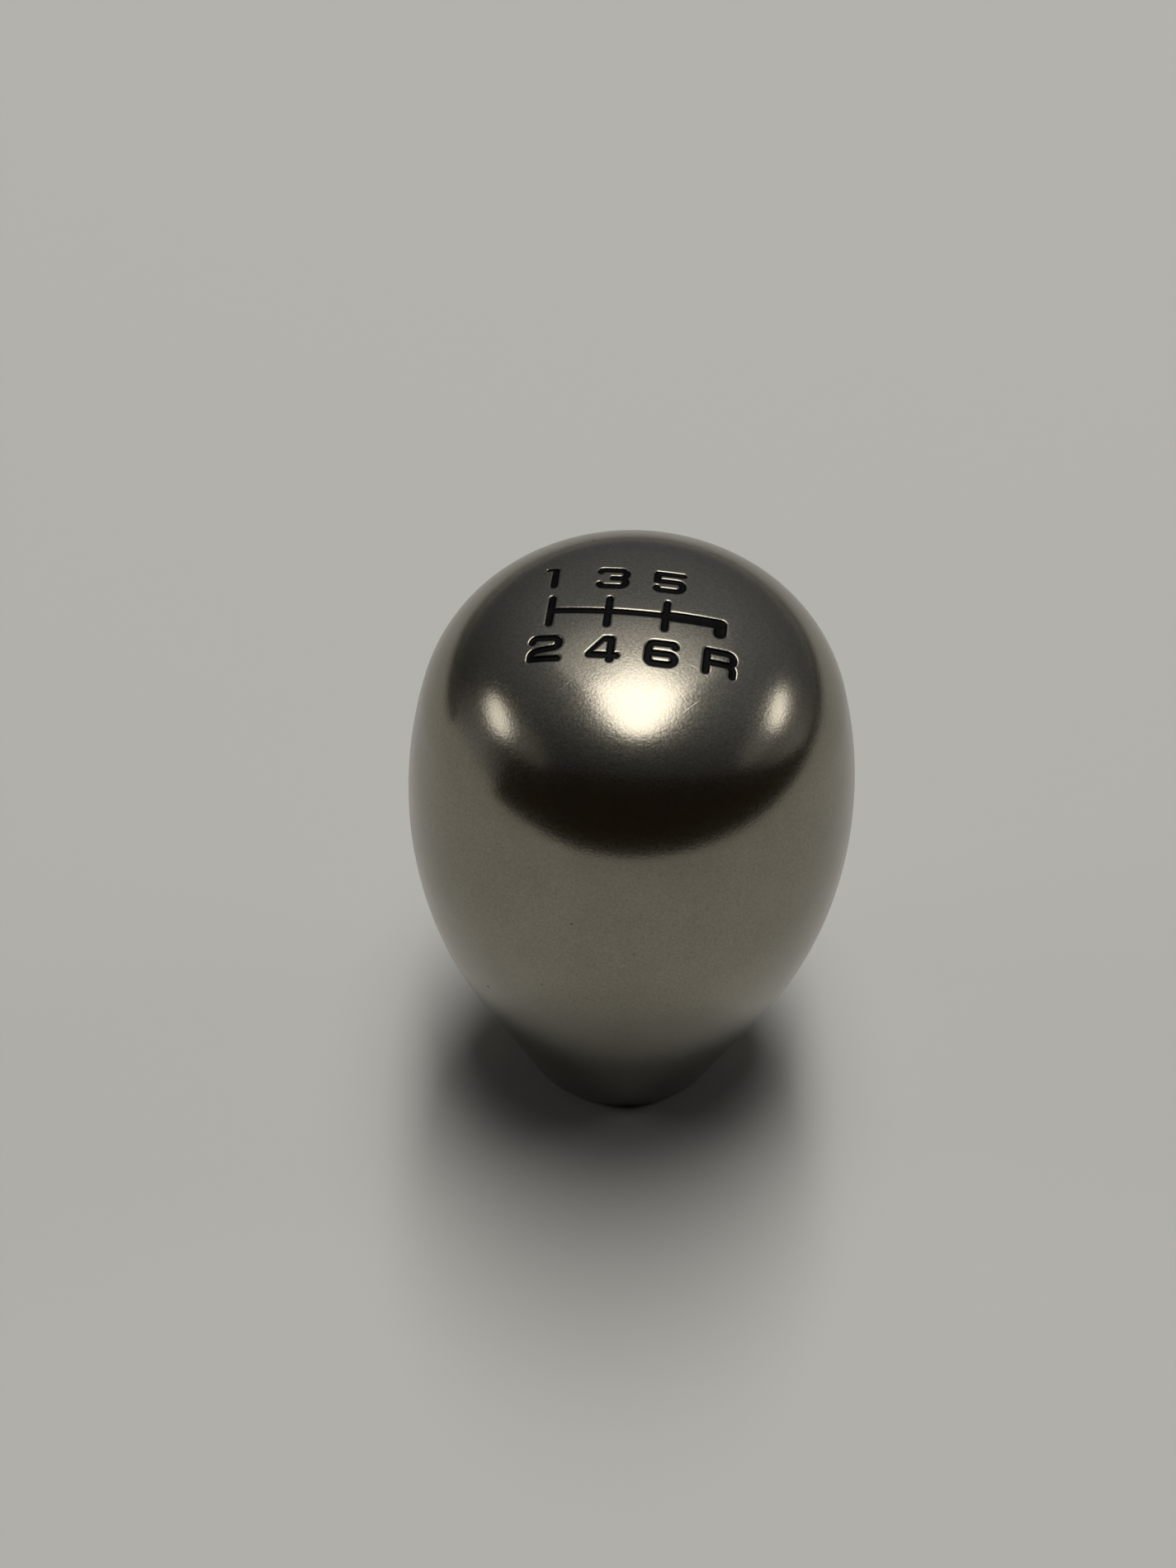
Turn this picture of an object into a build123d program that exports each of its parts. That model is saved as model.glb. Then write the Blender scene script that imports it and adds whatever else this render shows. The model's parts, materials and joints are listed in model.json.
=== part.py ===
from build123d import *
import math
import os

# Gear shift knob, turned from one bar of titanium, with a six-speed shift pattern
# engraved in its dome and filled with black enamel.
# Frame: origin at the centre of the flat base, +Z up the axis of the lever thread.
# The pattern reads along +X, and the driver sits on the -Y side.

# Turned outline
MAX_DIAMETER = 45.0
BELT_HEIGHT = 39.8  # height of the widest place above the base
CROWN_HEIGHT = 26.2  # height of the pole above the widest place
DOME_RADIUS = 50.0
SHOULDER_RADIUS = 15.0
SIDE_RADIUS = 58.0
TAPER_ANGLE = 21.5  # lean of the straight taper from the axis, in degrees
BASE_EDGE_RADIUS = 0.8

# Lever thread, M10 x 1.5, drilled to its tapping size
THREAD_DIAMETER = 10.0
THREAD_PITCH = 1.5
DRILLED_DEPTH = 30.0
DRILL_POINT_ANGLE = 118.0
MOUTH_OVERSIZE = 0.5  # how much wider than the thread the countersunk mouth is

# Shift pattern, as seen from above
STROKE_WIDTH = 0.88
THIN_STROKE_WIDTH = 0.6
REVERSE_STROKE_WIDTH = 1.4
COLUMN_LENGTH = 4.3
REVERSE_DROP = 1.9  # how far the reverse branch reaches down from the cross bar's middle
DIGIT_WIDTH = 3.35
DIGIT_HEIGHT = 3.3
DIGIT_CORNER_RADIUS = 0.6
DIGIT_GAP = 2.05  # bare metal between two digits side by side
ROW_GAP = 0.92  # bare metal between a column's end and its digit

# Engraving, measured square to the dome
ENAMEL_RECESS = 0.22  # from the metal down to the enamel
ENAMEL_THICKNESS = 0.28
CUTTER_LIFT = 1.0  # how far the engraving cutters stand above the pole

HEIGHT = BELT_HEIGHT + CROWN_HEIGHT
MAX_RADIUS = MAX_DIAMETER / 2
BORE_RADIUS = (THREAD_DIAMETER - THREAD_PITCH) / 2
MOUTH_RADIUS = (THREAD_DIAMETER + MOUTH_OVERSIZE) / 2
COLUMN_SPACING = DIGIT_WIDTH + DIGIT_GAP
ROW_HEIGHT = COLUMN_LENGTH / 2 + ROW_GAP + DIGIT_HEIGHT / 2
ENGRAVING_DEPTH = ENAMEL_RECESS + ENAMEL_THICKNESS


def shoulder_angles():
    """Angles from the axis, in degrees, where the shoulder leaves the dome and meets the side.

    The shoulder arc touches the dome and the side from inside, so its centre lies at known
    distances from both of their centres.
    """
    dome_centre = Vector(0, HEIGHT - DOME_RADIUS)
    side_centre = Vector(MAX_RADIUS - SIDE_RADIUS, BELT_HEIGHT)
    from_dome = DOME_RADIUS - SHOULDER_RADIUS
    from_side = SIDE_RADIUS - SHOULDER_RADIUS
    between = dome_centre - side_centre
    along = (from_side**2 - from_dome**2 + between.length**2) / (2 * between.length)
    turn = math.degrees(math.acos(along / from_side))
    shoulder_centre = side_centre + between.normalized().rotate(Axis.Z, turn) * from_side
    to_dome = shoulder_centre - dome_centre
    to_side = shoulder_centre - side_centre
    return math.degrees(math.atan2(to_dome.X, to_dome.Y)), math.degrees(math.atan2(to_side.X, to_side.Y))


def crown(inset):
    """Half outline from the pole over the shoulder down to the belt, moved inwards by inset."""
    dome_end, shoulder_end = shoulder_angles()
    dome = JernArc((0, HEIGHT - inset), (1, 0), DOME_RADIUS - inset, -dome_end)
    shoulder = JernArc(dome @ 1, dome % 1, SHOULDER_RADIUS - inset, dome_end - shoulder_end)
    side = JernArc(shoulder @ 1, shoulder % 1, SIDE_RADIUS - inset, shoulder_end - 90)
    return [dome, shoulder, side]


def crown_solid(inset):
    """All that lies above the belt as a turned solid, smaller by inset square to its surface."""
    outline = crown(inset)
    floor = Line(outline[-1] @ 1, (0, BELT_HEIGHT))
    axis = Line(floor @ 1, (0, HEIGHT - inset))
    return revolve(Plane.XZ * make_face(outline + [floor, axis]), Axis.Z)


def turned_body():
    """The knob as it leaves the lathe: outline, rounded base edge and the hole for the lever."""
    outline = crown(0)
    belly = JernArc(outline[-1] @ 1, (0, -1), SIDE_RADIUS, -TAPER_ANGLE)
    # The taper stops where the rounded base edge touches it
    lean = math.radians(TAPER_ANGLE)
    taper_drop = (belly @ 1).Y - BASE_EDGE_RADIUS * (1 - math.sin(lean))
    taper = Line(belly @ 1, (belly @ 1) - Vector(taper_drop * math.tan(lean), taper_drop))
    base_edge = JernArc(taper @ 1, taper % 1, BASE_EDGE_RADIUS, TAPER_ANGLE - 90)
    drill_point = BORE_RADIUS / math.tan(math.radians(DRILL_POINT_ANGLE / 2))
    hole = Polyline(
        base_edge @ 1,
        (MOUTH_RADIUS, 0),
        (BORE_RADIUS, MOUTH_RADIUS - BORE_RADIUS),
        (BORE_RADIUS, DRILLED_DEPTH),
        (0, DRILLED_DEPTH + drill_point),
        (0, HEIGHT),
    )
    section = make_face(outline + [belly, taper, base_edge, hole])
    return revolve(Plane.XZ * section, Axis.Z)


def corner_radius(points, corner):
    """Rounding of one corner of a stroke, limited by the room on the runs beside it."""
    before = points[corner] - points[corner - 1]
    after = points[corner + 1] - points[corner]
    half_turn = math.radians(before.get_angle(after) / 2)
    # A run between two corners is shared by both of them
    room_before = before.length / (2 if corner > 1 else 1)
    room_after = after.length / (2 if corner < len(points) - 2 else 1)
    room_to_spare = 0.98
    return min(DIGIT_CORNER_RADIUS, room_to_spare * min(room_before, room_after) / math.tan(half_turn))


def stroke(points, width):
    """Flat shapes of one round-ended stroke along a path with rounded corners."""
    points = [Vector(*point) for point in points]
    radii = [corner_radius(points, corner) for corner in range(1, len(points) - 1)]
    path = FilletPolyline(*points, radius=radii).edges() if radii else [Line(*points)]
    shapes = []
    for edge in path:
        if edge.geom_type == GeomType.CIRCLE:
            shapes.append(SlotArc(edge, width))
        else:
            run = edge @ 1 - edge @ 0
            slope = math.degrees(math.atan2(run.Y, run.X))
            shapes.append(Pos(edge @ 0.5) * SlotCenterToCenter(run.length, width, rotation=slope))
    return shapes


def grid_strokes(name):
    """Full and thin strokes of one character, on a grid from -1 to 1 both ways."""
    full = {
        "1": [[(-0.1, 1), (-0.1, -1)]],
        "2": [
            [(-1, 0.6), (-1, 1), (1, 1), (1, 0.1), (-1, -0.3), (-1, -1)],
            [(-1, -1), (1, -1)],
        ],
        "3": [
            [(-1, 0.75), (-1, 1), (1, 1), (1, 0), (0, 0)],
            [(0, 0), (1, 0), (1, -1), (-1, -1), (-1, -0.75)],
        ],
        "4": [
            [(0.55, 1), (0.55, -1)],
            [(0.55, 1), (0.1, 1)],
            [(-1, -0.6), (1, -0.6)],
        ],
        "5": [
            [(0.95, 1), (-1, 1)],
            [(-1, 1), (-1, 0.1)],
            [(-1, 0.1), (1, 0.1), (1, -1), (-1, -1), (-1, -0.7)],
        ],
        "6": [
            [(1, 0.7), (1, 1), (-1, 1), (-1, -1), (1, -1), (1, 0), (-1, 0)],
        ],
        "R": [
            [(-1, 1), (-1, -1)],
            [(-1, 1), (1, 1), (1, -0.1), (-1, -0.1)],
            [(0.3, -0.1), (1, -0.1), (1, -1)],
        ],
    }
    # The flag of the 1 and the slant of the 4
    thin = {
        "1": [[(-0.1, 1.12), (-0.75, 1.12)]],
        "4": [[(0.05, 1.1), (-1.1, -0.52)]],
    }
    return full[name], thin.get(name, [])


def character(name, centre):
    """Flat shapes of one character round its centre."""
    half_width = (DIGIT_WIDTH - STROKE_WIDTH) / 2
    half_height = (DIGIT_HEIGHT - STROKE_WIDTH) / 2
    full, thin = grid_strokes(name)
    shapes = []
    for width, strokes in [(STROKE_WIDTH, full), (THIN_STROKE_WIDTH, thin)]:
        for grid_points in strokes:
            points = [centre + Vector(x * half_width, y * half_height) for x, y in grid_points]
            shapes += stroke(points, width)
    return shapes


def gate():
    """Flat shapes of the cross bar, the three columns and the wide reverse branch."""
    inner = COLUMN_SPACING / 2
    outer = inner + COLUMN_SPACING
    reach = (COLUMN_LENGTH - STROKE_WIDTH) / 2
    shapes = stroke([(-outer, 0), (inner, 0)], STROKE_WIDTH)
    for column in (-outer, -inner, inner):
        shapes += stroke([(column, reach), (column, -reach)], STROKE_WIDTH)
    # The wide branch ends where a branch of normal width would
    corner = outer - (REVERSE_STROKE_WIDTH - STROKE_WIDTH) / 2
    drop = REVERSE_DROP - REVERSE_STROKE_WIDTH / 2
    shapes += stroke([(inner, 0), (corner, 0)], REVERSE_STROKE_WIDTH)
    shapes += stroke([(corner, 0), (corner, -drop)], REVERSE_STROKE_WIDTH)
    return shapes


def pattern():
    """Flat shapes of the gate and of every character, as one list for each."""
    upper_row = "135"
    lower_row = "246R"
    middle_column = (len(lower_row) - 1) / 2
    groups = [gate()]
    for row, names in [(1, upper_row), (-1, lower_row)]:
        for column, name in enumerate(names):
            centre = Vector((column - middle_column) * COLUMN_SPACING, row * ROW_HEIGHT)
            groups.append(character(name, centre))
    return groups


def engraving_cutters():
    """One upright cutter for the gate and one for each character, all of the same depth."""
    groove_floor = crown_solid(ENGRAVING_DEPTH)
    cutter_height = CROWN_HEIGHT + CUTTER_LIFT
    cutters = []
    for shapes in pattern():
        prism = extrude(Pos(0, 0, BELT_HEIGHT) * (Sketch() + shapes), cutter_height)
        cutters.append(prism - groove_floor)
    return cutters


knob_body = turned_body()
enamel_top = crown_solid(ENAMEL_RECESS)
enamel = []
for cutter in engraving_cutters():
    knob_body -= cutter
    enamel += (cutter & enamel_top).solids()

os.makedirs("parts", exist_ok=True)
export_step(knob_body, "parts/knob_body.step")
export_step(Compound(children=enamel), "parts/shift_pattern_fill.step")
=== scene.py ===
import bmesh
import bpy
import json
import math
import numpy as np
from mathutils import Matrix, Vector
from mathutils.geometry import delaunay_2d_cdt


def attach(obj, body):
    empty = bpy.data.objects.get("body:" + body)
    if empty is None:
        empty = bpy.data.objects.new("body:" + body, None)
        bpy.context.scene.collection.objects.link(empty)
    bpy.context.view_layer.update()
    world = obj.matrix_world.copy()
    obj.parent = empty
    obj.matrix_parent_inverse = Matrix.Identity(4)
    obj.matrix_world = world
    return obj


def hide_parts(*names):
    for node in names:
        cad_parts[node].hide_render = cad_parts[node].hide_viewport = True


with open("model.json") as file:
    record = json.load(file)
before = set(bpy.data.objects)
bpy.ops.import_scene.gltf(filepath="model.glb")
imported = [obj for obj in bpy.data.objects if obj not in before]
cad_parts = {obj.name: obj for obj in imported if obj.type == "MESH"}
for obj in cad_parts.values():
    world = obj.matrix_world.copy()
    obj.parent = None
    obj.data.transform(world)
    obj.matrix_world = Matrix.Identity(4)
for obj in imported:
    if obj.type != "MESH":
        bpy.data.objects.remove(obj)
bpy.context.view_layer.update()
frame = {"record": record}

# Turned knob
# One bar of titanium, turned to a teardrop with a low dome, and drilled and tapped from below
# for the gear lever. Here it is turned from its half outline, up to the crown that is engraved.
MM = 0.001
belt_radius = 22.5 * MM
belt_height = 39.8 * MM
pole_height = 66.0 * MM
dome_radius = 50.0 * MM
shoulder_radius = 15.0 * MM
side_radius = 58.0 * MM
taper_lean = math.radians(21.5)
base_edge_radius = 0.8 * MM
crown_radius = 14.5 * MM
lathe_segments = 256
lathe_weld_gap = 0.001 * MM

dome_centre = Vector((0, pole_height - dome_radius))
side_centre = Vector((belt_radius - side_radius, belt_height))

# The shoulder touches the dome and the side from inside
dome_to_shoulder = dome_radius - shoulder_radius
side_to_shoulder = side_radius - shoulder_radius
side_to_dome = dome_centre - side_centre
squares = side_to_shoulder**2 - dome_to_shoulder**2 + side_to_dome.length_squared
along = squares / (2 * side_to_dome.length)
across = math.sqrt(side_to_shoulder**2 - along**2)
towards_dome = side_to_dome.normalized()
shoulder_centre = side_centre + along * towards_dome + across * towards_dome.orthogonal()


def lean_between(inner, outer):
    """Angle from the axis of the line that leads from one arc's centre to another's."""
    return math.atan2(outer.x - inner.x, outer.y - inner.y)


def arc(centre, radius, start, end, steps):
    """Points of an arc in the half outline, with its angles measured from the axis."""
    angles = np.linspace(start, end, steps + 1)
    return [centre + radius * Vector((math.sin(angle), math.cos(angle))) for angle in angles]


dome_end = lean_between(dome_centre, shoulder_centre)
shoulder_end = lean_between(side_centre, shoulder_centre)
crown_end = math.asin((crown_radius - shoulder_centre.x) / shoulder_radius)
shoulder_arc = arc(shoulder_centre, shoulder_radius, crown_end, shoulder_end, steps=30)
side_arc = arc(side_centre, side_radius, shoulder_end, math.pi / 2 + taper_lean, steps=54)

# The taper runs straight on from the side until it touches the rounded base edge
taper_foot_height = base_edge_radius * (1 - math.sin(taper_lean))
taper_foot_radius = side_arc[-1].x - (side_arc[-1].y - taper_foot_height) * math.tan(taper_lean)
base_flat_radius = taper_foot_radius - base_edge_radius * math.cos(taper_lean)
base_edge_centre = Vector((base_flat_radius, base_edge_radius))
base_edge_arc = arc(base_edge_centre, base_edge_radius, math.pi / 2 + taper_lean, math.pi, steps=10)

# The hole is widened to the thread's roots, with the tapping drill's own hole left above them
lever_mount = next(mount for mount in frame["record"]["mounts"] if mount["name"] == "lever_thread")
drill_radius = lever_mount["dims"]["r_mm"] * MM
thread_pitch = 1.5 * MM
thread_root_radius = drill_radius + thread_pitch / 2
mouth_clearance = 0.25 * MM
mouth_radius = thread_root_radius + mouth_clearance
drilled_depth = 30.0 * MM
threaded_depth = 26.0 * MM
drill_point_half_angle = math.radians(59)
hole = [
    Vector((mouth_radius, 0)),
    Vector((thread_root_radius, mouth_radius - thread_root_radius)),
    Vector((thread_root_radius, threaded_depth)),
    Vector((drill_radius, threaded_depth + thread_root_radius - drill_radius)),
    Vector((drill_radius, drilled_depth)),
    Vector((0, drilled_depth + drill_radius / math.tan(drill_point_half_angle))),
]
half_outline = shoulder_arc + side_arc[1:] + base_edge_arc + hole


def new_piece(name, mesh):
    """An object at the origin, with its place in its mesh."""
    piece = bpy.data.objects.new(name, mesh)
    bpy.context.scene.collection.objects.link(piece)
    return piece


def add_node(tree, kind, values=None, **settings):
    """A new node, with its settings and the values of its inputs filled in."""
    node = tree.nodes.new(kind)
    for name, value in settings.items():
        setattr(node, name, value)
    for name, value in (values or {}).items():
        node.inputs[name].default_value = value
    return node


def tree_input(tree, name, kind):
    """A named input of a geometry tree."""
    return tree.interface.new_socket(name, in_out="INPUT", socket_type="NodeSocket" + kind)


def end_tree(tree, given, mesh, name):
    """The end of a geometry tree: its mesh, made real and in the given material, under a name."""
    tree.interface.new_socket(name, in_out="OUTPUT", socket_type="NodeSocketGeometry")
    realized = add_node(tree, "GeometryNodeRealizeInstances")
    finished = add_node(tree, "GeometryNodeSetMaterial")
    result = add_node(tree, "NodeGroupOutput")
    tree.links.new(mesh, realized.inputs["Geometry"])
    tree.links.new(realized.outputs["Geometry"], finished.inputs["Geometry"])
    tree.links.new(given.outputs["Material"], finished.inputs["Material"])
    tree.links.new(finished.outputs["Geometry"], result.inputs[name])


def plain_mesh(host, modifier):
    """What a node tree makes of its host, as a mesh of its own. The tree is then taken off."""
    graph = bpy.context.evaluated_depsgraph_get()
    mesh = bpy.data.meshes.new_from_object(host.evaluated_get(graph))
    host.modifiers.remove(modifier)
    return mesh


# The tree sweeps the half outline round a circle of the crown's radius. The sweep turns an
# outline's own Y axis down the knob.
turning = bpy.data.node_groups.new("turn_on_lathe", "GeometryNodeTree")
tree_input(turning, "Half Outline", "Geometry")
segments_input = tree_input(turning, "Segments", "Int")
spin_radius_input = tree_input(turning, "Spin Radius", "Float")
material_input = tree_input(turning, "Material", "Material")
given = add_node(turning, "NodeGroupInput")
outline_curve = add_node(turning, "GeometryNodeMeshToCurve")
spin_circle = add_node(turning, "GeometryNodeCurvePrimitiveCircle")
swept = add_node(turning, "GeometryNodeCurveToMesh")
welded = add_node(turning, "GeometryNodeMergeByDistance", {"Distance": lathe_weld_gap})
turning.links.new(given.outputs["Half Outline"], outline_curve.inputs["Mesh"])
turning.links.new(given.outputs["Segments"], spin_circle.inputs["Resolution"])
turning.links.new(given.outputs["Spin Radius"], spin_circle.inputs["Radius"])
turning.links.new(spin_circle.outputs["Curve"], swept.inputs["Curve"])
turning.links.new(outline_curve.outputs["Curve"], swept.inputs["Profile Curve"])
turning.links.new(swept.outputs["Mesh"], welded.inputs["Geometry"])
end_tree(turning, given, welded.outputs["Geometry"], "Turned")

titanium = bpy.data.materials.new("bead_blasted_titanium")
outline_mesh = bpy.data.meshes.new("half_outline")
outline_mesh.from_pydata(
    [(point.x - crown_radius, -point.y, 0) for point in half_outline],
    [(index, index + 1) for index in range(len(half_outline) - 1)],
    [],
)
knob = new_piece("turned_knob", outline_mesh)
lathe = knob.modifiers.new("turn_on_lathe", "NODES")
lathe.node_group = turning
lathe[segments_input.identifier] = lathe_segments
lathe[spin_radius_input.identifier] = crown_radius
lathe[material_input.identifier] = titanium
knob.data = plain_mesh(knob, lathe)

# Engraved crown
# The shift pattern is milled into the dome to an even depth, and the bead blasting that follows
# rounds the lips of its grooves. The crown is one skin with the turned knob below it.
stroke_width = 0.88 * MM
thin_stroke_width = 0.6 * MM
reverse_stroke_width = 1.4 * MM
column_length = 4.3 * MM
reverse_drop = 1.9 * MM
digit_width = 3.35 * MM
digit_height = 3.3 * MM
digit_corner_radius = 0.6 * MM
digit_gap = 2.05 * MM
row_gap = 0.92 * MM
engraving_depth = 0.5 * MM
lip_reach = 0.24 * MM
lip_drop = 0.09 * MM
lip_inset = 0.11 * MM
wall_batter = 0.02 * MM

column_spacing = digit_width + digit_gap
row_height = column_length / 2 + row_gap + digit_height / 2

# Strokes of each character, on a grid from -1 to 1 both ways
full_strokes = {
    "1": [[(-0.1, 1), (-0.1, -1)]],
    "2": [[(-1, 0.6), (-1, 1), (1, 1), (1, 0.1), (-1, -0.3), (-1, -1)], [(-1, -1), (1, -1)]],
    "3": [
        [(-1, 0.75), (-1, 1), (1, 1), (1, 0), (0, 0)],
        [(0, 0), (1, 0), (1, -1), (-1, -1), (-1, -0.75)],
    ],
    "4": [[(0.55, 1), (0.55, -1)], [(0.55, 1), (0.1, 1)], [(-1, -0.6), (1, -0.6)]],
    "5": [
        [(0.95, 1), (-1, 1)],
        [(-1, 1), (-1, 0.1)],
        [(-1, 0.1), (1, 0.1), (1, -1), (-1, -1), (-1, -0.7)],
    ],
    "6": [[(1, 0.7), (1, 1), (-1, 1), (-1, -1), (1, -1), (1, 0), (-1, 0)]],
    "R": [
        [(-1, 1), (-1, -1)],
        [(-1, 1), (1, 1), (1, -0.1), (-1, -0.1)],
        [(0.3, -0.1), (1, -0.1), (1, -1)],
    ],
}
thin_strokes = {
    "1": [[(-0.1, 1.12), (-0.75, 1.12)]],
    "4": [[(0.05, 1.1), (-1.1, -0.52)]],
}
# Column and row of each character, counted from the middle of the pattern
places = {
    "1": (-1.5, 1),
    "2": (-1.5, -1),
    "3": (-0.5, 1),
    "4": (-0.5, -1),
    "5": (0.5, 1),
    "6": (0.5, -1),
    "R": (1.5, -1),
}


def rounded_corner(points, corner):
    """Points of one corner of a stroke, rounded as far as the runs beside it leave room."""
    before = points[corner] - points[corner - 1]
    after = points[corner + 1] - points[corner]
    half_turn = before.angle(after) / 2
    room_before = before.length / (2 if corner > 1 else 1)
    room_after = after.length / (2 if corner < len(points) - 2 else 1)
    room_to_spare = 0.98
    room = room_to_spare * min(room_before, room_after)
    radius = min(digit_corner_radius, room / math.tan(half_turn))
    way_in = before.normalized()
    side = math.copysign(1, before.cross(after))
    start = points[corner] - way_in * radius * math.tan(half_turn)
    centre = start + side * radius * way_in.orthogonal()
    degrees_per_step = 14
    steps = max(2, round(2 * math.degrees(half_turn) / degrees_per_step))
    turns = np.linspace(0, side * 2 * half_turn, steps + 1)
    return [centre + Matrix.Rotation(turn, 2) @ (start - centre) for turn in turns]


def centre_line(points, longest_run=0.6 * MM):
    """Middle of a stroke as close points, with its corners rounded."""
    points = [Vector(point) for point in points]
    line = [points[0]]
    for corner in range(1, len(points) - 1):
        line += rounded_corner(points, corner)
    line.append(points[-1])
    close = [line[0]]
    for start, end in zip(line, line[1:]):
        runs = math.ceil((end - start).length / longest_run)
        close += [start.lerp(end, run / runs) for run in range(1, runs + 1)]
    return np.array(close)


def character_strokes(name):
    """Centre lines and widths of one character's strokes, in its place beside its column."""
    column, row = places[name]
    half_width = (digit_width - stroke_width) / 2
    half_height = (digit_height - stroke_width) / 2
    strokes = []
    for width, table in ((stroke_width, full_strokes), (thin_stroke_width, thin_strokes)):
        for grid_points in table.get(name, []):
            points = [
                (column * column_spacing + x * half_width, row * row_height + y * half_height)
                for x, y in grid_points
            ]
            strokes.append((centre_line(points), width))
    return strokes


def gate_strokes():
    """Centre lines and widths of the cross bar, the three columns and the wide reverse branch."""
    inner = column_spacing / 2
    outer = inner + column_spacing
    reach = (column_length - stroke_width) / 2
    strokes = [(centre_line([(-outer, 0), (inner, 0)]), stroke_width)]
    for column in (-outer, -inner, inner):
        strokes.append((centre_line([(column, reach), (column, -reach)]), stroke_width))
    corner = outer - (reverse_stroke_width - stroke_width) / 2
    drop = reverse_drop - reverse_stroke_width / 2
    strokes.append((centre_line([(inner, 0), (corner, 0)]), reverse_stroke_width))
    strokes.append((centre_line([(corner, 0), (corner, -drop)]), reverse_stroke_width))
    return strokes


# The sharp edge that a plain groove would have runs along the rounded lip, so the wall stands inside it
pattern = gate_strokes()
for name in places:
    pattern += character_strokes(name)
pattern = [(line, width - 2 * lip_inset) for line, width in pattern]

# Least length that is divided by
tiny = 1e-9


def from_grooves(points):
    """How far each point lies outside the nearest groove's wall, and the way out of that groove."""
    distance = np.full(len(points), np.inf)
    way_out = np.zeros((len(points), 2))
    rows = np.arange(len(points))
    for line, width in pattern:
        runs = np.diff(line, axis=0)
        offset = points[:, None] - line[:-1]
        share = np.clip((offset * runs).sum(2) / (runs**2).sum(1), 0, 1)
        away = offset - share[..., None] * runs
        length = np.linalg.norm(away, axis=2)
        nearest = length.argmin(1)
        length = length[rows, nearest]
        closer = length - width / 2 < distance
        distance[closer] = (length - width / 2)[closer]
        way_out[closer] = (away[rows, nearest] / np.maximum(length, tiny)[:, None])[closer]
    return distance, way_out


def stroke_loop(line, offset, cap_steps=10):
    """Closed loop round a stroke's centre line, at an even distance from it."""
    along = np.diff(line, axis=0)
    along /= np.linalg.norm(along, axis=1)[:, None]
    ways = np.vstack([along[:1], along[:-1] + along[1:], along[-1:]])
    ways /= np.linalg.norm(ways, axis=1)[:, None]
    left = np.column_stack([-ways[:, 1], ways[:, 0]])
    turns = np.linspace(0, math.pi, cap_steps + 1)[1:-1, None]
    end_cap = line[-1] + offset * (left[-1] * np.cos(turns) + ways[-1] * np.sin(turns))
    start_cap = line[0] - offset * (left[0] * np.cos(turns) + ways[0] * np.sin(turns))
    return np.vstack([line + offset * left, end_cap, (line - offset * left)[::-1], start_cap])


def loops_round_strokes(offsets):
    """Loops round every stroke, at each of the given distances from its wall."""
    return [stroke_loop(line, width / 2 + offset) for line, width in pattern for offset in offsets]


def triangulated(loops, loose_points):
    """Triangles between closed loops and loose points, seen from above."""
    points = np.vstack(loops + [loose_points])
    edges = []
    first = 0
    for loop in loops:
        count = len(loop)
        edges += [(first + index, first + (index + 1) % count) for index in range(count)]
        first += count
    in_mm = [Vector(point) for point in points / MM]
    whole_hull = 0
    closest_in_mm = 1e-4
    found, _, triangles, _, _, _ = delaunay_2d_cdt(in_mm, edges, [], whole_hull, closest_in_mm)
    return np.array(found) * MM, np.array(triangles)


def bare_crown(radius):
    """Height of the crown before it is engraved, and how far its normal leans from the axis."""
    on_dome = radius < dome_radius * math.sin(dome_end)
    reach = np.where(on_dome, radius, radius - shoulder_centre.x)
    curve = np.where(on_dome, dome_radius, shoulder_radius)
    centre = np.where(on_dome, dome_centre.y, shoulder_centre.y)
    return centre + np.sqrt(curve**2 - reach**2), np.arcsin(reach / curve)


def crown_surface(points):
    """Places and normals of the engraved crown's skin over points seen from above."""
    radius = np.linalg.norm(points, axis=1)
    height, lean = bare_crown(radius)
    distance, way_out = from_grooves(points)
    in_groove = distance < -wall_batter / 2
    roll = np.arcsin(np.clip(1 - distance / lip_reach, 0, 1))
    drop = np.where(in_groove, engraving_depth / np.cos(lean), lip_drop * (1 - np.cos(roll)))
    tilt = np.arctan2(lip_drop * np.sin(roll), lip_reach * np.cos(roll))
    tilt = np.where(distance < -2 * wall_batter, 0, tilt)[:, None]
    radial = points / np.maximum(radius, tiny)[:, None]
    bare_normal = np.column_stack([radial * np.sin(lean)[:, None], np.cos(lean)])
    way_in = np.column_stack([-way_out, np.zeros(len(points))])
    return np.column_stack([points, height - drop]), bare_normal * np.cos(tilt) + way_in * np.sin(tilt)


def ring(radius, count):
    """Evenly spaced points of a circle round the axis, seen from above."""
    turns = np.arange(count) * 2 * math.pi / count
    return radius * np.column_stack([np.cos(turns), np.sin(turns)])


# Loops round every stroke follow the rounded lip down to the wall, and rings fill the bare metal
lip_rolls = np.radians([0, 20, 40, 60, 75, 90])
lip_offsets = list(lip_reach * (1 - np.sin(lip_rolls))) + [-wall_batter]
groove_loops = loops_round_strokes(lip_offsets)
ring_spacing = 0.75 * MM
ring_radii = np.arange(ring_spacing, crown_radius - ring_spacing / 2, ring_spacing)
rings = [ring(radius, math.ceil(2 * math.pi * radius / ring_spacing)) for radius in ring_radii]
bare_points = np.vstack(rings)
bare_points = bare_points[from_grooves(bare_points)[0] > lip_reach + ring_spacing / 3]
crown_rim = ring(crown_radius, lathe_segments)
crown_points, crown_triangles = triangulated([crown_rim] + groove_loops, bare_points)
crown_places, _ = crown_surface(crown_points)

weld_gap = 0.002 * MM
skin = bmesh.new()
skin.from_mesh(knob.data)
crown_corners = [skin.verts.new(place) for place in crown_places]
for triangle in crown_triangles:
    skin.faces.new([crown_corners[index] for index in triangle])
bmesh.ops.remove_doubles(skin, verts=skin.verts, dist=weld_gap)
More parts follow.
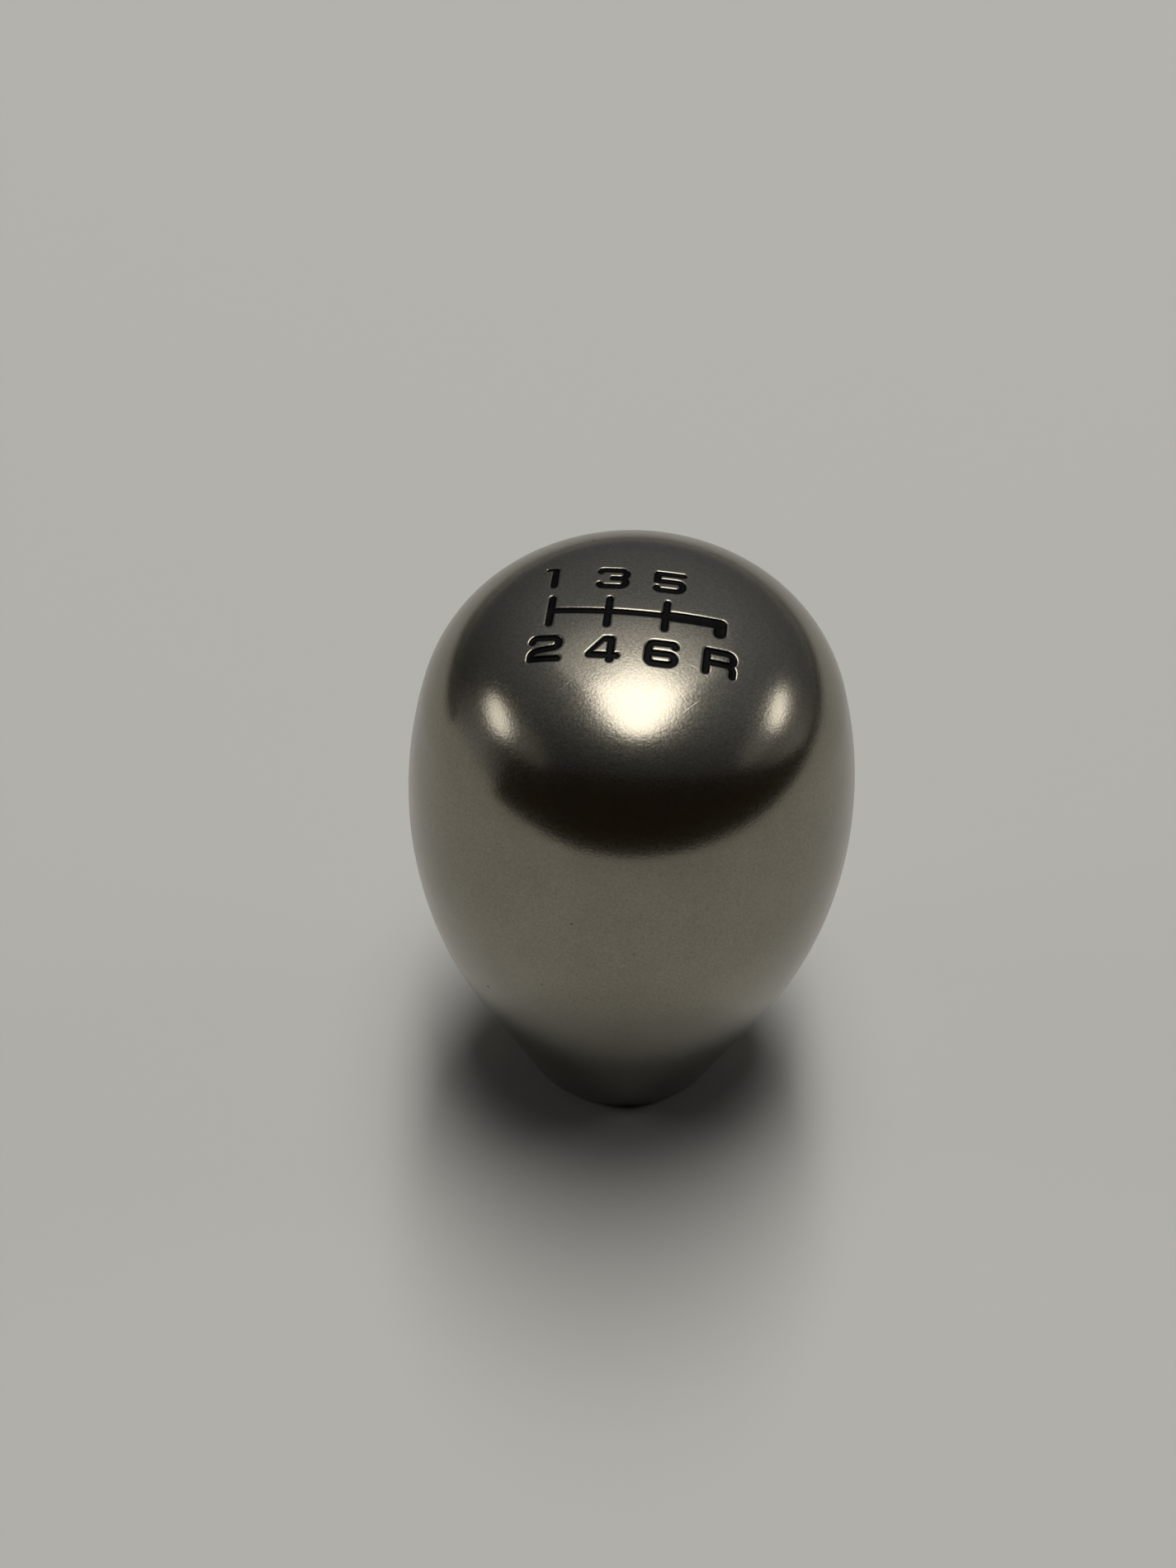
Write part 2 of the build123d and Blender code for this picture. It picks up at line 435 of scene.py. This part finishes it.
# The weld folds over a few slivers where loops meet, and only these have a free edge
slivers = [face for face in skin.faces if any(edge.is_boundary for edge in face.edges)]
bmesh.ops.delete(skin, geom=slivers, context="FACES")
bmesh.ops.recalc_face_normals(skin, faces=skin.faces)
for face in skin.faces:
    face.smooth = True
skin.to_mesh(knob.data)
skin.free()
knob.data.set_sharp_from_angle(angle=math.radians(25))

# The engraved crown takes its exact normals, and the turned faces keep their own
rim_margin = 0.01 * MM
places_now = np.array([vertex.co for vertex in knob.data.vertices])
corner_vertices = np.array([loop.vertex_index for loop in knob.data.loops])
reach_now = np.hypot(places_now[:, 0], places_now[:, 1])
on_crown = (places_now[:, 2] > belt_height) & (reach_now < crown_radius + rim_margin)
vertex_normals = np.zeros((len(places_now), 3))
vertex_normals[on_crown] = crown_surface(places_now[on_crown, :2])[1]
knob.data.normals_split_custom_set(vertex_normals[corner_vertices])

# Titanium, bead blasted to an even satin: a fine grain that sparkles in the highlights, a slightly
# uneven sheen where hands polish it, and the few specks and scratches that handling has left.
titanium_colour = (0.215, 0.197, 0.16, 1)
polished_colour = (0.295, 0.271, 0.22, 1)
dirt_colour = (0.035, 0.032, 0.03, 1)
blasted_roughness = 0.23
polished_roughness = 0.2
grain_roughness = 0.02
dirt_roughness = 0.4
blotch_size = 7 * MM
blotch_share = 0.25
grain_size = 0.24 * MM
grain_share = 0.75
grain_depth = 0.007 * MM
scratch_width = 0.05 * MM
scratch_depth = 0.8  # in depths of the grain
titanium.use_nodes = True
tree = titanium.node_tree
surface = tree.nodes["Principled BSDF"]
surface.inputs["Metallic"].default_value = 1.0
place = add_node(tree, "ShaderNodeTexCoord").outputs["Object"]


def noise(tree, place, size, detail):
    """Even noise whose features have a real size."""
    node = add_node(tree, "ShaderNodeTexNoise", {"Scale": 1 / size, "Detail": detail})
    tree.links.new(place, node.inputs["Vector"])
    return node.outputs["Fac"]


def ranged(tree, value, start, end, low, high):
    """A value mapped from one range to another, and held at the ends."""
    limits = {"From Min": start, "From Max": end, "To Min": low, "To Max": high}
    node = add_node(tree, "ShaderNodeMapRange", limits)
    tree.links.new(value, node.inputs["Value"])
    return node.outputs["Result"]


def combined(tree, operation, first, second):
    """Two values, or a value and a number, put together by arithmetic."""
    node = add_node(tree, "ShaderNodeMath", operation=operation)
    tree.links.new(first, node.inputs[0])
    if isinstance(second, (int, float)):
        node.inputs[1].default_value = second
    else:
        tree.links.new(second, node.inputs[1])
    return node.outputs["Value"]


def mixed(tree, factor, first, second):
    """Two colours mixed by a factor; the first may come from another node."""
    node = add_node(tree, "ShaderNodeMix", data_type="RGBA")
    tree.links.new(factor, node.inputs["Factor"])
    # The sockets for colours come after those of the same names for numbers and vectors
    first_colour = node.inputs[6]
    second_colour = node.inputs[7]
    if isinstance(first, tuple):
        first_colour.default_value = first
    else:
        tree.links.new(first, first_colour)
    second_colour.default_value = second
    return node.outputs[2]


# Specks, each a place in millimetres and a radius
specks = [
    ((-5.27, 11.51, 63.97), 0.16),
    ((-12.45, -17.54, 29.11), 0.2),
    ((-3.6, -21.86, 46.15), 0.11),
    ((2.4, -22.29, 42.9), 0.1),
    ((-6.48, -21.38, 35.57), 0.12),
]
# Scratches, each from one place to another in millimetres
scratches = [
    ((-3.89, -9.45, 64.89), (-2.48, -8.74, 65.17)),
    ((5.22, -10.65, 64.33), (6.52, -9.26, 64.54)),
    ((-5.4, -8.67, 64.89), (-6.38, -9.68, 64.43)),
    ((5.56, -5.63, 65.37), (7.08, -6.57, 65.04)),
]


def speck_mask(tree, place, centre, radius):
    """One inside a speck, falling to nothing at its edge."""
    gap = add_node(tree, "ShaderNodeVectorMath", operation="DISTANCE")
    tree.links.new(place, gap.inputs[0])
    gap.inputs[1].default_value = Vector(centre) * MM
    return ranged(tree, gap.outputs["Value"], 0.5 * radius * MM, radius * MM, 1, 0)


def scratch_mask(tree, place, start, end):
    """One along the middle of a scratch, falling to nothing at its edges."""
    start = Vector(start) * MM
    run = Vector(end) * MM - start
    offset = add_node(tree, "ShaderNodeVectorMath", operation="SUBTRACT")
    tree.links.new(place, offset.inputs[0])
    offset.inputs[1].default_value = start
    along = add_node(tree, "ShaderNodeVectorMath", operation="DOT_PRODUCT")
    tree.links.new(offset.outputs["Vector"], along.inputs[0])
    along.inputs[1].default_value = run / run.length_squared
    share = ranged(tree, along.outputs["Value"], 0, 1, 0, 1)
    foot = add_node(tree, "ShaderNodeVectorMath", operation="SCALE")
    foot.inputs[0].default_value = run
    tree.links.new(share, foot.inputs["Scale"])
    gap = add_node(tree, "ShaderNodeVectorMath", operation="DISTANCE")
    tree.links.new(offset.outputs["Vector"], gap.inputs[0])
    tree.links.new(foot.outputs["Vector"], gap.inputs[1])
    return ranged(tree, gap.outputs["Value"], 0, scratch_width, 1, 0)


def strongest(tree, masks):
    """The greatest of several masks."""
    total = masks[0]
    for mask in masks[1:]:
        total = combined(tree, "MAXIMUM", total, mask)
    return total


dirt = strongest(tree, [speck_mask(tree, place, centre, radius) for centre, radius in specks])
scratched = strongest(tree, [scratch_mask(tree, place, start, end) for start, end in scratches])
blotches = noise(tree, place, blotch_size, detail=3)
grain = noise(tree, place, grain_size, detail=1)

# Most of the unevenness in the colour is grain, and the rest is blotches
blotchy = ranged(tree, blotches, 0.35, 0.65, 0, blotch_share)
grainy = ranged(tree, grain, 0.3, 0.7, 0, grain_share)
tint = mixed(tree, combined(tree, "ADD", blotchy, grainy), titanium_colour, polished_colour)
tree.links.new(mixed(tree, dirt, tint, dirt_colour), surface.inputs["Base Color"])

sheen = ranged(tree, blotches, 0.3, 0.7, blasted_roughness, polished_roughness)
glints = ranged(tree, grain, 0.3, 0.7, -grain_roughness, grain_roughness)
dulled = combined(tree, "MULTIPLY", dirt, dirt_roughness)
clean_sheen = combined(tree, "ADD", sheen, glints)
tree.links.new(combined(tree, "ADD", clean_sheen, dulled), surface.inputs["Roughness"])

cuts = combined(tree, "MULTIPLY", scratched, scratch_depth)
marked = combined(tree, "SUBTRACT", grain, cuts)
blasted = add_node(tree, "ShaderNodeBump", {"Strength": 1.0, "Distance": grain_depth})
tree.links.new(marked, blasted.inputs["Height"])
tree.links.new(blasted.outputs["Normal"], surface.inputs["Normal"])

knob.data.materials.clear()
knob.data.materials.append(titanium)
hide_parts("knob_body")
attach(knob, "root")

# Shift pattern fill
# Black enamel, run into the engraved grooves and wiped off the metal. It stands a little below the
# metal and draws up the walls as it dries, as far as their rounded lips, so its top is hollow.
enamel_recess = 0.22 * MM
enamel_climb = enamel_recess - lip_drop
climb_reach = 0.16 * MM
# Loops inside each wall, closest where the enamel climbs
enamel_offsets = [offset * MM for offset in (0.0, -0.02, -0.045, -0.07, -0.1, -0.13, -0.16)]
middles = np.vstack([line for line, _ in pattern])
fill_points, fill_triangles = triangulated(loops_round_strokes(enamel_offsets), middles)
middle_of_triangles = fill_points[fill_triangles].mean(axis=1)
fill_triangles = fill_triangles[from_grooves(middle_of_triangles)[0] < 0]

fill_height, fill_lean = bare_crown(np.linalg.norm(fill_points, axis=1))
from_wall = -from_grooves(fill_points)[0]
climb = enamel_climb * np.clip(1 - from_wall / climb_reach, 0, 1) ** 2
fill_top = np.column_stack([fill_points, fill_height - (enamel_recess - climb) / np.cos(fill_lean)])
fill_bottom = np.column_stack([fill_points, fill_height - engraving_depth / np.cos(fill_lean)])

fine_weld_gap = 0.0005 * MM
fill = bmesh.new()
tops = [fill.verts.new(point) for point in fill_top]
bottoms = [fill.verts.new(point) for point in fill_bottom]
for triangle in fill_triangles:
    upper = fill.faces.new([tops[index] for index in triangle])
    upper.smooth = True
    fill.faces.new([bottoms[index] for index in reversed(triangle)])
top_corners = {corner: index for index, corner in enumerate(tops)}
for edge in [edge for edge in fill.edges if edge.is_boundary and edge.verts[0] in top_corners]:
    first, second = (top_corners[corner] for corner in edge.verts)
    fill.faces.new([tops[first], tops[second], bottoms[second], bottoms[first]])
bmesh.ops.delete(fill, geom=[vertex for vertex in fill.verts if not vertex.link_faces], context="VERTS")
bmesh.ops.remove_doubles(fill, verts=fill.verts, dist=fine_weld_gap)
bmesh.ops.recalc_face_normals(fill, faces=fill.faces)
fill_mesh = bpy.data.meshes.new("enamel_fill")
fill.to_mesh(fill_mesh)
fill.free()
fill_mesh.set_sharp_from_angle(angle=math.radians(40))

enamel = bpy.data.materials.new("black_enamel")
enamel.use_nodes = True
tree = enamel.node_tree
surface = tree.nodes["Principled BSDF"]
place = add_node(tree, "ShaderNodeTexCoord").outputs["Object"]
enamel_colour = (0.001, 0.001, 0.0012, 1)
dusty_colour = (0.003, 0.003, 0.0032, 1)
enamel_roughness = 0.36
dusty_roughness = 0.5
dust_size = 0.8 * MM
ripple_size = 0.3 * MM
ripple_depth = 0.004 * MM
dusting = ranged(tree, noise(tree, place, dust_size, detail=4), 0.45, 0.7, 0, 1)
tree.links.new(mixed(tree, dusting, enamel_colour, dusty_colour), surface.inputs["Base Color"])
dusty_sheen = ranged(tree, dusting, 0, 1, enamel_roughness, dusty_roughness)
tree.links.new(dusty_sheen, surface.inputs["Roughness"])
surface.inputs["Specular IOR Level"].default_value = 0.06
brushed_out = add_node(tree, "ShaderNodeBump", {"Strength": 1.0, "Distance": ripple_depth})
tree.links.new(noise(tree, place, ripple_size, detail=2), brushed_out.inputs["Height"])
tree.links.new(brushed_out.outputs["Normal"], surface.inputs["Normal"])

enamel_fill = new_piece("enamel_fill", fill_mesh)
enamel_fill.data.materials.append(enamel)
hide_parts("shift_pattern_fill")
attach(enamel_fill, "root")

# Lever thread
# The turns of the M10 thread inside the knob, cut by a tap in the same titanium. They stand in from
# the thread's roots to the tapping drill's radius, and thin out where the countersink cuts them.
flank_angle = math.radians(30)
sunk = 0.05 * MM
ridge_height = thread_root_radius - drill_radius
root_flat = thread_pitch / 8
root_half_width = (thread_pitch - root_flat) / 2
crest_half_width = root_half_width - ridge_height * math.tan(flank_angle)
ridge_outline = [
    (thread_root_radius + sunk, -root_half_width),
    (drill_radius, -crest_half_width),
    (drill_radius, crest_half_width),
    (thread_root_radius + sunk, root_half_width),
]
thread_turns = threaded_depth / thread_pitch + 1
steps_per_turn = 96

tapping = bpy.data.node_groups.new("tap_thread", "GeometryNodeTree")
tree_input(tapping, "Ridge Outline", "Geometry")
turns_input = tree_input(tapping, "Turns", "Float")
pitch_input = tree_input(tapping, "Pitch", "Float")
radius_input = tree_input(tapping, "Root Radius", "Float")
steps_input = tree_input(tapping, "Steps per Turn", "Int")
thread_material_input = tree_input(tapping, "Material", "Material")
given = add_node(tapping, "NodeGroupInput")
ridge_curve = add_node(tapping, "GeometryNodeMeshToCurve")
length = add_node(tapping, "ShaderNodeMath", operation="MULTIPLY")
helix = add_node(tapping, "GeometryNodeCurveSpiral")
swept = add_node(tapping, "GeometryNodeCurveToMesh", {"Fill Caps": True})
tapping.links.new(given.outputs["Ridge Outline"], ridge_curve.inputs["Mesh"])
tapping.links.new(given.outputs["Turns"], length.inputs[0])
tapping.links.new(given.outputs["Pitch"], length.inputs[1])
tapping.links.new(given.outputs["Steps per Turn"], helix.inputs["Resolution"])
tapping.links.new(given.outputs["Turns"], helix.inputs["Rotations"])
tapping.links.new(given.outputs["Root Radius"], helix.inputs["Start Radius"])
tapping.links.new(given.outputs["Root Radius"], helix.inputs["End Radius"])
tapping.links.new(length.outputs["Value"], helix.inputs["Height"])
tapping.links.new(helix.outputs["Curve"], swept.inputs["Curve"])
tapping.links.new(ridge_curve.outputs["Curve"], swept.inputs["Profile Curve"])
end_tree(tapping, given, swept.outputs["Mesh"], "Thread")

ridge_mesh = bpy.data.meshes.new("ridge_outline")
ridge_mesh.from_pydata(
    [(radius - thread_root_radius, height, 0) for radius, height in ridge_outline],
    [(0, 1), (1, 2), (2, 3), (3, 0)],
    [],
)
thread = new_piece("lever_thread", ridge_mesh)
tap = thread.modifiers.new("tap_thread", "NODES")
tap.node_group = tapping
tap[turns_input.identifier] = thread_turns
tap[pitch_input.identifier] = thread_pitch
tap[radius_input.identifier] = thread_root_radius
tap[steps_input.identifier] = steps_per_turn
tap[thread_material_input.identifier] = titanium
thread.data = plain_mesh(thread, tap)

# The countersink trims the first turn, and what would reach below the base is drawn into the metal
hidden = 0.01 * MM
for vertex in thread.data.vertices:
    vertex.co.z = max(vertex.co.z - thread_pitch / 2, hidden)
    reach = math.hypot(vertex.co.x, vertex.co.y)
    trimmed = max(reach, mouth_radius - vertex.co.z + hidden)
    vertex.co.x *= trimmed / reach
    vertex.co.y *= trimmed / reach
thread_skin = bmesh.new()
thread_skin.from_mesh(thread.data)
bmesh.ops.remove_doubles(thread_skin, verts=thread_skin.verts, dist=fine_weld_gap)
bmesh.ops.recalc_face_normals(thread_skin, faces=thread_skin.faces)
thread_skin.to_mesh(thread.data)
thread_skin.free()
thread.data.set_sharp_from_angle(angle=math.radians(20))
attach(thread, "root")

# Floor
# A plain pale table top, wide enough to fill the view, on which the knob stands on its flat base.
# It is matt, so it takes the knob's soft shadow and mirrors nothing.
floor_size = 1.2
floor_colour = (0.462, 0.466, 0.453, 1)
floor_mesh = bpy.data.meshes.new("floor")
half = floor_size / 2
floor_corners = [(-half, -half, 0), (half, -half, 0), (half, half, 0), (-half, half, 0)]
floor_mesh.from_pydata(floor_corners, [], [(0, 1, 2, 3)])
floor = new_piece("floor", floor_mesh)
table_top = bpy.data.materials.new("pale_table_top")
table_top.use_nodes = True
table_surface = table_top.node_tree.nodes["Principled BSDF"]
table_surface.inputs["Base Color"].default_value = floor_colour
table_surface.inputs["Roughness"].default_value = 0.9
table_surface.inputs["Specular IOR Level"].default_value = 0.1
floor.data.materials.append(table_top)

# Lamps
# Soft oval lamps under the ceiling: one above the knob and one far out on each side, which show as
# three bright spots in the metal, and dim ones beside them. All are square to the camera's direction.
camera_azimuth = math.radians(5.63)
towards_camera = Matrix.Rotation(camera_azimuth, 4, "Z")
panel_rise = 3.0
panel_colour = (1.0, 0.978, 0.94)


def ceiling_panel(name, sideways, back, width, length, glow):
    """A soft oval lamp that faces down, sized and placed in shares of its height above the knob."""
    light = bpy.data.lights.new(name, "AREA")
    light.shape = "ELLIPSE"
    light.size = width * panel_rise
    light.size_y = length * panel_rise
    light.color = panel_colour
    area = math.pi / 4 * light.size * light.size_y
    light.energy = glow * math.pi * area
    panel = bpy.data.objects.new(name, light)
    place = (sideways * panel_rise, back * panel_rise, pole_height + panel_rise)
    panel.matrix_world = towards_camera @ Matrix.Translation(place)
    bpy.context.scene.collection.objects.link(panel)
    return panel


ceiling_panel("left_panel", sideways=-1.9, back=0.1, width=0.9, length=0.8, glow=2.9)
ceiling_panel("middle_panel", sideways=0.035, back=0.14, width=0.44, length=0.86, glow=5.2)
ceiling_panel("right_panel", sideways=2.05, back=0.38, width=0.9, length=0.8, glow=3.9)
ceiling_panel("back_panel", sideways=0.03, back=0.58, width=0.75, length=0.66, glow=0.6)
ceiling_panel("left_glow", sideways=-1.45, back=-0.5, width=0.9, length=0.9, glow=0.12)
ceiling_panel("right_glow", sideways=1.95, back=-0.4, width=1.2, length=1.0, glow=0.17)
# The middle lamp's reflector spreads more light over the table than its face shows in the metal
reflector = ceiling_panel("middle_reflector", sideways=0.03, back=0.25, width=0.16, length=0.9, glow=15.8)
reflector.visible_glossy = False

# Room
# A dim room, brightest high up at its back and level with the knob at its two sides. The camera sees
# a plain pale backdrop instead, and the metal sees that backdrop as well, from the horizon down.
dark_side_colour = (0.02, 0.02, 0.02, 1)
bright_side_colour = (0.248, 0.264, 0.29, 1)
side_wall_colour = (0.31, 0.31, 0.31, 1)
backdrop_colour = (0.4, 0.396, 0.37, 1)
brightest_way = (0.2, 0.6, 0.78)
brightness_falloff = 3
side_wall_start = 0.72
side_wall_falloff = 2
horizon_softness = 0.02
room = bpy.data.worlds.new("dim_room")
room.use_nodes = True
tree = room.node_tree
way = add_node(tree, "ShaderNodeTexCoord").outputs["Generated"]


def way_along(direction):
    """How far a ray's way points along a direction that is given as the camera faces."""
    node = add_node(tree, "ShaderNodeVectorMath", operation="DOT_PRODUCT")
    tree.links.new(way, node.inputs[0])
    node.inputs[1].default_value = towards_camera.to_3x3() @ Vector(direction)
    return node.outputs["Value"]


brightness = ranged(tree, way_along(brightest_way), -0.6, 1, 0, 1)
bright_share = combined(tree, "POWER", brightness, brightness_falloff)
room_colour = mixed(tree, bright_share, dark_side_colour, bright_side_colour)
sideways = way_along((1, 0, 0))
either_side = combined(tree, "MULTIPLY", sideways, sideways)
beside = ranged(tree, either_side, side_wall_start, 1, 0, 1)
wall_share = combined(tree, "POWER", beside, side_wall_falloff)
room_colour = mixed(tree, wall_share, room_colour, side_wall_colour)
below_horizon = ranged(tree, way_along((0, 0, 1)), horizon_softness, -horizon_softness, 0, 1)
ray = add_node(tree, "ShaderNodeLightPath")
seen_in_metal = combined(tree, "MULTIPLY", ray.outputs["Is Glossy Ray"], below_horizon)
seen_behind = combined(tree, "MAXIMUM", ray.outputs["Is Camera Ray"], seen_in_metal)
behind = mixed(tree, seen_behind, room_colour, backdrop_colour)
tree.links.new(behind, tree.nodes["Background"].inputs["Color"])
bpy.context.scene.world = room
room.cycles_visibility.diffuse = False

# Dark cloth
# Black felt, set up on edge round the table: low behind the knob, and high on the camera's side, where
# it gives the knob its dark band. It shows in reflections only.
felt_colour = (0.048, 0.034, 0.022, 1)
# Plan and top of the cloth, from its left end round the back to the right, and across the front
cloth_edge = [
    (-0.49, 0.13, 0.06),
    (-0.4, 0.34, 0.055),
    (-0.15, 0.48, 0.03),
    (0.2, 0.47, 0.03),
    (0.4, 0.3, 0.05),
    (0.47, 0.12, 0.06),
    (0.47, 0.03, 0.07),
    (0.36, -0.1, 0.14),
    (0.19, -0.195, 0.225),
    (0.05, -0.215, 0.255),
    (-0.1, -0.21, 0.26),
    (-0.24, -0.25, 0.29),
    (-0.38, -0.2, 0.25),
    (-0.52, -0.2, 0.25),
]
cloth_mesh = bpy.data.meshes.new("dark_cloth")
cloth_corners = [towards_camera @ Vector((x, y, 0)) for x, y, top in cloth_edge]
cloth_corners += [towards_camera @ Vector((x, y, top)) for x, y, top in cloth_edge]
stretch = len(cloth_edge)
cloth_mesh.from_pydata(
    cloth_corners,
    [],
    [(index, index + 1, index + 1 + stretch, index + stretch) for index in range(stretch - 1)],
)
cloth = new_piece("dark_cloth", cloth_mesh)
black_felt = bpy.data.materials.new("black_felt")
black_felt.use_nodes = True
felt_surface = black_felt.node_tree.nodes["Principled BSDF"]
felt_surface.inputs["Base Color"].default_value = felt_colour
felt_surface.inputs["Roughness"].default_value = 1.0
felt_surface.inputs["Specular IOR Level"].default_value = 0.0
cloth.data.materials.append(black_felt)
cloth.visible_camera = False
cloth.visible_diffuse = False
cloth.visible_shadow = False

# Camera
# It looks down at the knob from the driver's side, as the photograph does. Its place and focal length
# are the ones at which the knob's outline and pattern lie where the photograph has them.
photo_height = 1900
focal_length_in_pixels = 2800.3
sensor_size = 36.0
camera_position = Vector((10.83, -154.24, 217.04)) * MM
camera_pitch = math.radians(48.6)
camera_roll = 0.0142  # in radians
camera_data = bpy.data.cameras.new("camera")
camera_data.sensor_width = sensor_size
camera_data.lens = sensor_size * focal_length_in_pixels / photo_height
camera_data.clip_start = 0.01
camera = bpy.data.objects.new("camera", camera_data)
camera_place = Matrix.Translation(camera_position)
camera_tilt = Matrix.Rotation(math.pi / 2 - camera_pitch, 4, "X")
camera_turn = Matrix.Rotation(camera_roll, 4, "Z")
camera.matrix_world = camera_place @ towards_camera @ camera_tilt @ camera_turn
bpy.context.scene.collection.objects.link(camera)
bpy.context.scene.camera = camera
bpy.context.scene.view_settings.view_transform = "Standard"
